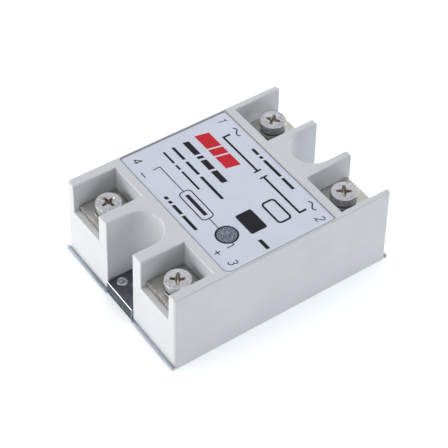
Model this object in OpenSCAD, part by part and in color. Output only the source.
// Solid state relay in a panel-mount block housing.
// +X is the output end, -X the input end, +Z up, and the origin is on the
// underside of the base plate below the middle of the relay.
// Terminals: 1 output far (+Y), 2 output near (-Y), 3 input near, 4 input far.

/* [Housing] */
// Length of the housing at its foot
foot_l = 59.8; // [58:0.1:62]
// Width of the housing at its foot
foot_w = 45; // [44:0.1:47]
// Height of the top face above the mounting surface
top_z = 22.2; // [21.5:0.1:24]
// Mould draft of each side face, foot to top
draft = 0.4; // [0.1:0.05:0.8]
// Height of the long skirts' lower edge above the mounting surface
skirt_gap = 0.1; // [0.05:0.05:0.3]

/* [Wells and notches] */
// Width of the mounting notch at the input end
in_notch_w = 10.7; // [10:0.1:11.5]
// Width of the mounting notch at the output end
out_notch_w = 11; // [10:0.1:11.5]
// Depth of the input notch, from the end face
in_notch_d = 10.8; // [10.5:0.1:11.5]
// Depth of the output notch, from the end face
out_notch_d = 11.3; // [10.5:0.1:11.8]
// Wall between notch and well at the input end
in_fin = 3.3; // [2.5:0.1:3.5]
// Wall between notch and well at the output end
out_fin = 2; // [1.8:0.1:2.6]
// Outer wall beside the wells at the input end
in_wall = 2.6; // [2:0.1:2.8]
// Outer wall beside the wells at the output end
out_wall = 1.6; // [1.4:0.1:2.4]
// Depth of the input wells, from the end face
in_well_d = 11.4; // [11:0.1:12]
// Depth of the output wells, from the end face
out_well_d = 13.1; // [12:0.1:13.5]
// Height of the ledge at the open end of each well
ledge_z = 14; // [13.4:0.1:14.2]

/* [Base plate] */
// How far the plate stands out past each end of the housing's foot
plate_out = 0.7; // [0.3:0.1:1]
// Thickness of the plate's edge below the end walls
edge_t = 0.9; // [0.7:0.1:1.2]
// Thickness of the plate inside the housing and in the notches
plate_t = 3.8; // [3.4:0.1:4.2]
// Distance between the two mounting holes
hole_pitch = 47.6; // [47:0.1:48]
// Diameter of each mounting hole
hole_d = 4.5; // [4.3:0.1:4.8]

/* [Terminals] */
// Distance of the output screws from the middle
out_screw_x = 22.6; // [22.4:0.1:23.2]
// Distance of the input screws from the middle
in_screw_x = 23.5; // [23:0.1:23.6]
// Distance of the output screws from the centre line
out_screw_y = 13.8; // [13.7:0.05:14.2]
// Distance of the input screws from the centre line
in_screw_y = 14.15; // [13.9:0.05:14.2]
// Height of the top of the terminal plates
pad_z = 15.5; // [15.2:0.1:15.8]
// Thickness of the terminal plates
pad_t = 1; // [0.8:0.1:1.1]
// Diameter of the screw's thread
thread_d = 3.5; // [3.4:0.1:3.6]
// Diameter of the screw's head
head_d = 6.4; // [6:0.1:6.6]
// Height of the screw's head
head_h = 2; // [1.8:0.1:2.2]
// Pitch of the screw's thread
pitch = 0.6; // [0.5:0.1:0.7]
// Turns that the far output screw is backed off
turns_1 = 3.5; // [0:0.5:4]
// Turns that the near output screw is backed off
turns_2 = 1.5; // [0:0.5:4]

/* [Label and indicator] */
// Length of the label
label_l = 29.8; // [28:0.1:29.9]
// Width of the label
label_w = 43; // [41:0.1:43]
// Label centre, along the relay
label_x = -0.9; // [-1:0.1:-0.7]
// Depth of the label's recess in the top face
label_recess = 0.5; // [0.3:0.05:0.8]
// Thickness of the label
label_t = 0.25; // [0.15:0.05:0.3]
// Diameter of the indicator's lens
lens_d = 4.7; // [4:0.1:5]
// Place of the lens along the relay
lens_x = -9; // [-10:0.1:-8]
// Place of the lens across the relay
lens_y = -11.9; // [-13:0.1:-11]

/* [Circuit board] */
// Height of the board's underside
board_z = 9.4; // [9.2:0.1:9.6]
// Thickness of the board
board_t = 1.6; // [1.2:0.1:1.6]

/* [Hidden] */
$fn = 64;
// how far a cutting shape runs past the face that it cuts
eps = 0.5;
// gap between faces that may meet when a clamp is closed
seat = 0.05;
top_l = foot_l - 2 * draft;
top_w = foot_w - 2 * draft;
// wall thicknesses: end walls, round the notches, behind the wells, below the label
wall = 1.8;
notch_wall = 1.8;
well_back = 1.6;
ceiling = 1.7;
// half width of the base plate, and its play in the housing
plate_y = foot_w / 2 - 1.1;
plate_fit = 0.1;
// how far the thick tongue in each notch stays behind the plate's end, and its play in the notch
tongue_back = 0.4;
tongue_play = 0.3;
// wide lip past each end face: its gap to the face, and how far it stays inside the width
lip_gap = 0.04;
lip_in = 0.1;
// raised rivet end beside the input hole, and the hollow in it
rivet_at = [-27.2, 3.3];
rivet_r = 1.15;
rivet_rise = 0.12;
rivet_bore_r = 0.65;
rivet_bore_depth = 0.5;
// half width and half length of the hollow for the circuit
cavity_y = foot_w / 2 - 2;
cavity_x = foot_l / 2 - wall;
// floor of the wells, below the terminal plates
floor_t = 1.8;
floor_z = pad_z - pad_t;
cavity_top = floor_z - floor_t;
board_top = board_z + board_t;

// play round the label and round the lens, and the ball that dishes the lens's underside
lens_at = [lens_x, lens_y];
label_play = 0.1;
lens_play = 0.1;
dish_r = 2;
dish_drop = 1.4;

// sizes of the two ends: 0 is the output end, 1 the input end
function side(e) = e == 0 ? 1 : -1;
function notch_w(e) = e == 0 ? out_notch_w : in_notch_w;
function notch_d(e) = e == 0 ? out_notch_d : in_notch_d;
function fin(e) = e == 0 ? out_fin : in_fin;
function outer(e) = e == 0 ? out_wall : in_wall;
function well_d(e) = e == 0 ? out_well_d : in_well_d;
function screw_x(e) = e == 0 ? out_screw_x : in_screw_x;
function screw_y(e) = e == 0 ? out_screw_y : in_screw_y;
function well_x(e) = top_l / 2 - well_d(e);
function well_y0(e) = notch_w(e) / 2 + fin(e);
function well_y1(e) = top_w / 2 - outer(e);
function well_w(e) = well_y1(e) - well_y0(e);

// terminals 1 to 4: the end each is at, and the side of the centre line
term_end = [0, 0, 1, 1];
term_side = [1, -1, -1, 1];
function term_x(n) = side(term_end[n]) * screw_x(term_end[n]);
function term_y(n) = term_side[n] * screw_y(term_end[n]);
function lift(n) = [turns_1, turns_2, 0, 0][n] * pitch;

// terminal plates: play in the well, front lip, tail and threaded collar
pad_play = 0.3;
lip_back = [0.6, 1.3];
tail_w = 5;
tail_end = 8.6;
tail_play = 0.1;
collar_d = 5.6;
collar_h = 2.2;
collar_play = 0.3;
thread_play = 0.05;
groove_w = 0.4;
groove_depth = 0.2;
groove_step = 0.9;

// screw stack: flat washer, lock washer, shank
washer_d = 6.8;
washer_t = 0.5;
lock_d = 6.1;
lock_t = 0.6;
lock_gap = 0.5;
washer_bore = 3.8;
shank_l = 6;
head_bevel = 0.3;
recess_w = 0.9;
recess_l = 3.7;
recess_depth = 1.4;
recess_turn = [34, 55, 55, 11];

// triac and what holds it on the base plate
triac_at = [2.2, 0];
triac_w = 10.2;
triac_body_l = 9.1;
triac_body_h = 4.4;
tab_l = 6.3;
tab_t = 1.3;
tab_inset = 0.6;
tab_hole_d = 3.8;
pad_film_t = 0.5;
pad_film_over = [1, 1.5];
triac_z = plate_t + pad_film_t;
triac_pitch = 2.54;
triac_bend = 3;
triac_lead_h = 2.4;
triac_lead = [0.5, 0.6];
triac_screw_d = 3;
triac_screw_foot = 0.6;
triac_head = [5.4, 1.9];
triac_screw_x = triac_at[0] - triac_body_l / 2 - tab_l / 2;

// parts on the board: [x, y] of each one's middle
opto_at = [-1.5, 2.5];
opto_body = [8.6, 6.4, 3.4];
opto_stand = 0.5;
opto_pin = [0.5, 0.3];
opto_pitch = 2.54;
opto_row = 7.62;
in_res_at = [-12.5, 12];
gate_res_at = [[8.6, 6.4], [8.6, 10]];
snub_res_at = [8.4, -15.2];
snub_cap_at = [3.5, -8.6];
trans_at = [[-12.3, 3.4], [-12.3, -3.4]];
trans_pitch = 1.6;
diode_at = [-7.2, 12];
lamp_r = 1.5;
lamp_flange_r = 1.9;
lamp_h = 5;
lamp_gap = 0.3;
lamp_pitch = 2.54;
cap_body = [12.6, 5, 8.2];
cap_pitch = 10;
cement_body = [9, 5, 5];
cement_pitch = 11;
lead_d = 0.7;
hole_play = 0.15;
lead_below = 0.5;
lead_above = 1;

// a block with its bottom centre at the origin
module block(l, w, h) {
  translate([-l / 2, -w / 2, 0]) cube([l, w, h]);
}

// a trapezium standing on the X axis, extruded along Y
module wedge(foot, top, h, depth) {
  translate([0, depth / 2, 0])
    rotate([90, 0, 0])
      linear_extrude(depth)
        polygon([[-foot / 2, 0], [foot / 2, 0], [top / 2, h], [-top / 2, h]]);
}

// the drafted outer form of the housing
module outer_form() {
  intersection() {
    wedge(foot_l, top_l, top_z, foot_w + 2);
    rotate([0, 0, 90]) wedge(foot_w, top_w, top_z, foot_l + 2);
    translate([0, 0, skirt_gap]) block(foot_l + 2, foot_w + 2, top_z);
  }
}

// plan of a mounting notch, grown by g, open past the end face
module notch_plan(e, g) {
  r = notch_w(e) / 2 + g;
  cx = top_l / 2 - notch_d(e) + notch_w(e) / 2;
  translate([side(e) * cx, 0]) circle(r);
  translate([e == 0 ? cx : -foot_l, -r]) square([foot_l - cx, 2 * r]);
}

// room for the label, with the corner radius of the label's own corners
module label_plan(g) {
  r = 0.6;
  big_r = 2;
  l = label_l / 2 + g;
  w = label_w / 2 + g;
  translate([label_x, 0]) {
    translate([r - l, r - w + big_r]) square([2 * l - r, 2 * w - r - big_r]);
    translate([big_r - l, -w]) square([2 * l - big_r - r, 2 * w]);
    translate([-l, big_r - w]) square([2 * r, 2 * w - r - big_r]);
    translate([l - 2 * r, r - w]) square([2 * r, 2 * w - 2 * r]);
    translate([big_r - l, big_r - w]) circle(big_r);
    for (c = [[-1, 1], [1, 1], [1, -1]])
      translate([c[0] * (l - r), c[1] * (w - r)]) circle(r);
  }
}

// one terminal well with its ledge, and the way down for the plate's tail
module well(e, s) {
  x0 = well_x(e);
  step_x = top_l / 2 - lip_back[e] - pad_t - seat;
  mid_y = s * (well_y0(e) + well_y1(e)) / 2;
  mirror([e, 0, 0]) {
    translate([x0, mid_y - well_w(e) / 2, floor_z])
      cube([foot_l / 2 + eps - x0, well_w(e), top_z]);
    translate([step_x, mid_y - well_w(e) / 2, ledge_z])
      cube([foot_l / 2 + eps - step_x, well_w(e), top_z]);
    translate([x0 + pad_play / 2, mid_y - tail_w / 2 - tail_play, cavity_top - eps])
      cube([pad_t + tail_play, tail_w + 2 * tail_play, floor_t + 2 * eps]);
    translate([screw_x(e), s * screw_y(e), cavity_top - eps])
      cylinder(d = collar_d + collar_play, h = floor_t + 2 * eps);
  }
}

// everything hollow below the housing's top
module cavity() {
  difference() {
    union() {
      translate([0, 0, -eps])
        block(2 * cavity_x, 2 * cavity_y, cavity_top + eps);
      translate([-well_x(1) + well_back, -cavity_y, 0])
        cube([well_x(0) + well_x(1) - 2 * well_back, 2 * cavity_y,
              top_z - label_recess - ceiling]);
    }
    translate([0, 0, plate_t])
      for (e = [0, 1])
        linear_extrude(top_z) notch_plan(e, notch_wall);
  }
}

// room for the base plate: its thick middle, and its edge below the end walls
module plate_room() {
  translate([0, 0, -eps])
    block(2 * cavity_x, 2 * (plate_y + plate_fit), plate_t + eps);
  translate([0, 0, -eps])
    block(foot_l + 2, 2 * (plate_y + plate_fit), edge_t + eps);
}

module housing() {
  color("#d6d8da")
    difference() {
      outer_form();
      cavity();
      plate_room();
      for (e = [0, 1]) {
        translate([0, 0, -eps]) linear_extrude(top_z + 2 * eps) notch_plan(e, 0);
        for (s = [-1, 1]) well(e, s);
      }
      translate([0, 0, top_z - label_recess])
        linear_extrude(label_recess + eps) label_plan(label_play);
      translate([lens_at[0], lens_at[1], top_z - label_recess - ceiling - eps])
        cylinder(d = lens_d + lens_play, h = ceiling + 2 * eps);
    }
}

// cast plate: thin edge with a lip past each end wall, thick middle, and a
// tongue that fills each notch
module base_plate() {
  tongue_x = foot_l / 2 + plate_out - tongue_back;
  color("#aab2bb")
    difference() {
      union() {
        block(foot_l + 2 * plate_out, 2 * plate_y, edge_t);
        for (s = [-1, 1])
          translate([s * (foot_l / 2 + (plate_out + lip_gap) / 2), 0, 0])
            block(plate_out - lip_gap, foot_w - 2 * lip_in, edge_t);
        block(2 * cavity_x - 2 * plate_fit, 2 * plate_y, plate_t);
        for (e = [0, 1])
          translate([e == 0 ? 0 : -tongue_x, (tongue_play - notch_w(e)) / 2, 0])
            cube([tongue_x, notch_w(e) - tongue_play, plate_t]);
        translate([rivet_at[0], rivet_at[1], 0]) cylinder(r = rivet_r, h = plate_t + rivet_rise);
      }
      for (s = [-1, 1])
        translate([s * hole_pitch / 2, 0, -eps]) cylinder(d = hole_d, h = plate_t + 2 * eps);
      // the thin edge stops beside each tongue
      for (e = [0, 1])
        mirror([e, 0, 0])
          translate([tongue_x, -notch_w(e) / 2, -eps])
            cube([plate_out, notch_w(e), edge_t + 2 * eps]);
      translate([rivet_at[0], rivet_at[1], plate_t - rivet_bore_depth])
        cylinder(r = rivet_bore_r, h = rivet_bore_depth + eps);
      translate([triac_screw_x, 0, -eps]) cylinder(d = triac_screw_d, h = plate_t + 2 * eps);
    }
}

module label() {
  color("#c6cad8")
    difference() {
      translate([0, 0, top_z - label_recess]) linear_extrude(label_t) label_plan(0);
      translate([lens_at[0], lens_at[1], top_z - label_recess - eps])
        cylinder(d = lens_d + lens_play, h = label_t + 2 * eps);
    }
}

// clear disc below the label's window, with a dished underside
module indicator_lens() {
  lens_top = top_z - label_recess + label_t;
  color("#8d9096")
    difference() {
      translate([lens_at[0], lens_at[1], top_z - label_recess - ceiling])
        cylinder(d = lens_d, h = ceiling + lens_top - (top_z - label_recess));
      translate([lens_at[0], lens_at[1], top_z - label_recess - ceiling - dish_drop])
        sphere(r = dish_r);
    }
}

// bent terminal plate: pad, ridged front lip, tail to the board and threaded collar
module terminal_plate(n) {
  e = term_end[n];
  s = term_side[n];
  x0 = well_x(e) + pad_play / 2;
  x1 = top_l / 2 - lip_back[e];
  pw = well_w(e) - 2 * pad_play;
  mid_y = s * (well_y0(e) + well_y1(e)) / 2;
  grooves = floor((pw - 1) / groove_step / 2);
  color("#b3b2aa")
    mirror([e, 0, 0])
      difference() {
        union() {
          translate([x0, mid_y - pw / 2, floor_z]) cube([x1 - x0, pw, pad_t]);
          translate([x1 - pad_t, mid_y - pw / 2, ledge_z + seat])
            cube([pad_t, pw, pad_z - ledge_z - seat]);
          translate([x0, mid_y - tail_w / 2, tail_end])
            cube([pad_t, tail_w, pad_z - tail_end]);
          translate([screw_x(e), s * screw_y(e), floor_z - collar_h])
            cylinder(d = collar_d, h = collar_h);
        }
        translate([screw_x(e), s * screw_y(e), floor_z - collar_h - eps])
          cylinder(d = thread_d + 2 * thread_play, h = collar_h + pad_t + 2 * eps);
        // upright grooves down the lip's face
        for (k = [-grooves:grooves])
          translate([x1 - groove_depth, mid_y + k * groove_step - groove_w / 2, ledge_z - eps])
            cube([groove_depth + eps, groove_w, pad_z]);
      }
}

module flat_washer(n) {
  color("#c3c5c6")
    translate([term_x(n), term_y(n), pad_z + seat + lift(n)])
      difference() {
        cylinder(d = washer_d, h = washer_t);
        translate([0, 0, -eps]) cylinder(d = washer_bore, h = washer_t + 2 * eps);
      }
}

// split spring ring
module lock_washer(n) {
  color("#8f9294")
    translate([term_x(n), term_y(n), pad_z + seat + washer_t + lift(n)])
      difference() {
        cylinder(d = lock_d, h = lock_t);
        translate([0, 0, -eps]) cylinder(d = washer_bore, h = lock_t + 2 * eps);
        rotate([0, 0, 30 + 90 * n])
          translate([0, -lock_gap / 2, -eps]) cube([lock_d, lock_gap, lock_t + 2 * eps]);
      }
}

module cross_recess(l, w, h) {
  for (a = [0, 90])
    rotate([0, 0, a]) block(l, w, h);
}

// bevelled head with a cross recess, on a plain shank of the thread's size
module terminal_screw(n) {
  color("#bcbec0")
    translate([term_x(n), term_y(n), pad_z + seat + washer_t + lock_t + lift(n)])
      difference() {
        union() {
          cylinder(d = head_d, h = head_h - head_bevel);
          translate([0, 0, head_h - head_bevel])
            cylinder(d1 = head_d, d2 = head_d - 2 * head_bevel, h = head_bevel);
          translate([0, 0, -shank_l]) cylinder(d = thread_d, h = shank_l);
        }
        translate([0, 0, head_h - recess_depth])
          rotate([0, 0, recess_turn[n]]) cross_recess(recess_l, recess_w, recess_depth + eps);
      }
}

// a round pin through the board at [x, y], up to z
module pin(p, z, d = lead_d) {
  translate([p[0], p[1], board_z - lead_below])
    cylinder(d = d, h = z - board_z + lead_below, $fn = 24);
}

// where each part's leads pass through the board
triac_lead_x = triac_at[0] + triac_body_l / 2 + triac_bend;
triac_holes = [for (k = [-1:1]) [triac_lead_x, k * triac_pitch]];
opto_holes = [for (s = [-1, 1], k = [-1:1])
  [opto_at[0] + k * opto_pitch, opto_at[1] + s * opto_row / 2]];
led_holes = [for (s = [-1, 1]) [lens_at[0], lens_at[1] + s * lamp_pitch / 2]];
trans_holes = [for (t = trans_at, k = [-1:1]) [t[0], t[1] + k * trans_pitch]];
cap_holes = [for (s = [-1, 1]) [snub_cap_at[0] + s * cap_pitch / 2, snub_cap_at[1]]];

// axial parts: [middle, half the lead pitch, 0 along X or 90 along Y]
in_res_leads = [in_res_at, 6, 90];
diode_leads = [diode_at, 5, 90];
gate_res_leads = [for (g = gate_res_at) [g, 5, 0]];
function axial_holes(a) = [for (s = [-1, 1])
  [a[0][0] + s * a[1] * cos(a[2]), a[0][1] + s * a[1] * sin(a[2])]];
snub_res_holes = [for (s = [-1, 1]) [snub_res_at[0] + s * cement_pitch / 2, snub_res_at[1]]];
board_holes = concat(triac_holes, opto_holes, led_holes, trans_holes, cap_holes,
  axial_holes(in_res_leads), axial_holes(diode_leads), snub_res_holes,
  axial_holes(gate_res_leads[0]), axial_holes(gate_res_leads[1]));

// glass epoxy board, cut round the notches, with slots for the plates' tails
module circuit_board() {
  play = 0.3;
  shank_room = 1;
  color("#3c7a4b")
    difference() {
      translate([0, 0, board_z])
        block(2 * (cavity_x - play), 2 * (cavity_y - play), board_t);
      translate([0, 0, board_z - eps])
        for (e = [0, 1])
          linear_extrude(board_t + 2 * eps) notch_plan(e, notch_wall + play);
      for (p = board_holes)
        translate([p[0], p[1], board_z - eps])
          cylinder(d = lead_d + 2 * hole_play, h = board_t + 2 * eps, $fn = 24);
      for (n = [0:3]) {
        e = term_end[n];
        mid_y = term_side[n] * (well_y0(e) + well_y1(e)) / 2;
        translate([term_x(n), term_y(n), board_z - eps])
          cylinder(d = thread_d + shank_room, h = board_t + 2 * eps);
        mirror([e, 0, 0])
          translate([well_x(e) + pad_play / 2 - tail_play, mid_y - tail_w / 2 - tail_play, board_z - eps])
            cube([pad_t + 2 * tail_play, tail_w + 2 * tail_play, board_t + 2 * eps]);
      }
    }
}

// insulating film below the triac
module thermal_pad() {
  l = triac_body_l + tab_l + pad_film_over[0];
  color("#d9c9a8")
    difference() {
      translate([triac_at[0] - tab_l / 2, triac_at[1], plate_t])
        block(l, triac_w + pad_film_over[1], pad_film_t);
      translate([triac_screw_x, 0, plate_t - eps])
        cylinder(d = tab_hole_d, h = pad_film_t + 2 * eps);
    }
}

module triac_tab() {
  l = triac_body_l + tab_l - tab_inset;
  color("#b9bcbf")
    difference() {
      translate([triac_at[0] + triac_body_l / 2 - tab_inset - l / 2, triac_at[1], triac_z])
        block(l, triac_w, tab_t);
      translate([triac_screw_x, 0, triac_z - eps])
        cylinder(d = tab_hole_d, h = tab_t + 2 * eps);
    }
}

// moulded body that wraps the tab's end
module triac_body() {
  tab_play = 0.01;
  color("#2b2c2e")
    difference() {
      translate([triac_at[0], triac_at[1], triac_z])
        block(triac_body_l, triac_w, triac_body_h);
      translate([triac_at[0] - tab_inset, triac_at[1], triac_z - eps])
        block(triac_body_l + tab_play, triac_w + 2 * eps, tab_t + eps);
    }
}

// three flat leads that turn up through the board
module triac_leads() {
  x0 = triac_at[0] + triac_body_l / 2;
  lead_z = triac_z + triac_lead_h;
  t = triac_lead[0];
  w = triac_lead[1];
  color("#c9cbcc")
    for (p = triac_holes) {
      translate([x0, p[1] - w / 2, lead_z]) cube([p[0] - x0 + t / 2, w, t]);
      translate([p[0] - t / 2, p[1] - w / 2, lead_z]) cube([t, w, board_top + lead_above - lead_z]);
    }
}

// pan screw that holds the tab on the base plate
module triac_screw() {
  top = triac_z + tab_t;
  play = 0.04;
  cross = [3, 0.7, 1];
  color("#a9acae")
    difference() {
      union() {
        translate([triac_screw_x, 0, triac_screw_foot])
          cylinder(d = triac_screw_d - play, h = top - triac_screw_foot);
        translate([triac_screw_x, 0, top]) cylinder(d = triac_head[0], h = triac_head[1]);
      }
      translate([triac_screw_x, 0, top + triac_head[1] - cross[2]])
        cross_recess(cross[0], cross[1], cross[2] + eps);
    }
}

module optocoupler() {
  opto_z = board_top + opto_stand;
  nick = [0.8, 0.8];
  color("#e9e7e0")
    difference() {
      translate([opto_at[0], opto_at[1], opto_z]) block(opto_body[0], opto_body[1], opto_body[2]);
      translate([opto_at[0] - opto_body[0] / 2, opto_at[1], opto_z + opto_body[2] - nick[1]])
        cylinder(r = nick[0], h = nick[1] + eps, $fn = 32);
    }
}

// six pins, each bent down from the body's side
module optocoupler_pins() {
  pin_z = board_top + 1.7;
  root_w = 1.2;
  w = opto_pin[0];
  t = opto_pin[1];
  side_y = opto_body[1] / 2;
  color("#c9cbcc")
    for (p = opto_holes) {
      s = sign(p[1] - opto_at[1]);
      translate([p[0] - w / 2, p[1] - t / 2, board_z - lead_below])
        cube([w, t, pin_z + t - board_z + lead_below]);
      translate([p[0] - root_w / 2, s > 0 ? opto_at[1] + side_y : p[1], pin_z])
        cube([root_w, opto_row / 2 - side_y, t]);
    }
}

// round lamp with a flange and a domed top
module indicator_led() {
  led_top = top_z - label_recess - ceiling - lamp_gap;
  flange_t = 1;
  color("#c73a36")
    translate([lens_at[0], lens_at[1], 0]) {
      translate([0, 0, led_top - lamp_h]) cylinder(r = lamp_flange_r, h = flange_t);
      translate([0, 0, led_top - lamp_h]) cylinder(r = lamp_r, h = lamp_h - lamp_r);
      intersection() {
        translate([0, 0, led_top - lamp_r]) sphere(r = lamp_r);
        translate([0, 0, led_top - lamp_r]) cylinder(r = lamp_r + eps, h = lamp_r + eps);
      }
    }
}

module indicator_led_leads() {
  led_foot = top_z - label_recess - ceiling - lamp_gap - lamp_h;
  color("#c9cbcc")
    for (p = led_holes) pin(p, led_foot, 0.5);
}

// a body of revolution lying on the board, with both leads bent down
module axial_part(a, body_l, body_d, bands) {
  axis_z = board_top + body_d / 2 + 0.1;
  translate([a[0][0], a[0][1], axis_z]) rotate([0, 0, a[2]]) {
    translate([-body_l / 2, 0, 0]) rotate([0, 90, 0]) cylinder(d = body_d, h = body_l);
    for (b = bands)
      translate([b * body_l / 2 - 0.4, 0, 0])
        rotate([0, 90, 0]) cylinder(d = body_d + 0.1, h = 0.8);
    translate([-a[1], 0, 0]) rotate([0, 90, 0]) cylinder(d = lead_d, h = 2 * a[1], $fn = 24);
  }
  for (p = axial_holes(a)) {
    pin(p, axis_z);
    translate([p[0], p[1], axis_z]) sphere(d = lead_d, $fn = 24);
  }
}

module input_resistor() {
  color("#c9b58c") axial_part(in_res_leads, 6.2, 2.3, [-0.6, -0.2, 0.2, 0.7]);
}

module gate_resistor(k) {
  color("#c9b58c") axial_part(gate_res_leads[k], 6.2, 2.3, [-0.6, -0.2, 0.2, 0.7]);
}

module protection_diode() {
  color("#2b2c2e") axial_part(diode_leads, 5, 2.6, [0.7]);
}

// cement body standing on two leads
module snubber_resistor() {
  body_z = board_top + 0.6;
  lead_z = body_z + cement_body[2] / 2;
  color("#e4e2da") {
    translate([snub_res_at[0], snub_res_at[1], body_z])
      block(cement_body[0], cement_body[1], cement_body[2]);
    for (p = snub_res_holes) {
      s = sign(p[0] - snub_res_at[0]);
      pin(p, lead_z);
      translate([p[0], p[1], lead_z]) rotate([0, -90 * s, 0])
        cylinder(d = lead_d, h = 1.2, $fn = 24);
      translate([p[0], p[1], lead_z]) sphere(d = lead_d, $fn = 24);
    }
  }
}

// boxed film capacitor on two pins
module snubber_capacitor() {
  color("#d9a63a") {
    translate([snub_cap_at[0], snub_cap_at[1], board_top + 0.3])
      block(cap_body[0], cap_body[1], cap_body[2]);
    for (p = cap_holes) pin(p, board_top + 1);
  }
}

// half-round transistor on three leads
module input_transistor(k) {
  at = trans_at[k];
  body_z = board_top + 1.6;
  color("#2b2c2e") {
    translate([at[0], at[1], body_z])
      intersection() {
        cylinder(d = 4.8, h = 4.6);
        translate([-1.4, -3, 0]) cube([6, 6, 5]);
      }
    for (s = [-1:1]) pin([at[0], at[1] + s * trans_pitch], body_z + 0.5, 0.45);
  }
}

housing();
base_plate();
label();
indicator_lens();
terminal_plate(0);  // terminal_plate_1
terminal_plate(1);  // terminal_plate_2
terminal_plate(2);  // terminal_plate_3
terminal_plate(3);  // terminal_plate_4
flat_washer(0);  // flat_washer_1
flat_washer(1);  // flat_washer_2
flat_washer(2);  // flat_washer_3
flat_washer(3);  // flat_washer_4
lock_washer(0);  // lock_washer_1
lock_washer(1);  // lock_washer_2
lock_washer(2);  // lock_washer_3
lock_washer(3);  // lock_washer_4
terminal_screw(0);  // terminal_screw_1
terminal_screw(1);  // terminal_screw_2
terminal_screw(2);  // terminal_screw_3
terminal_screw(3);  // terminal_screw_4
circuit_board();
triac_tab();
triac_body();
triac_leads();
thermal_pad();
triac_screw();
optocoupler();
optocoupler_pins();
indicator_led();
indicator_led_leads();
input_resistor();
gate_resistor(0);  // gate_resistor_1
gate_resistor(1);  // gate_resistor_2
snubber_resistor();
snubber_capacitor();
input_transistor(0);  // input_transistor_1
input_transistor(1);  // input_transistor_2
protection_diode();
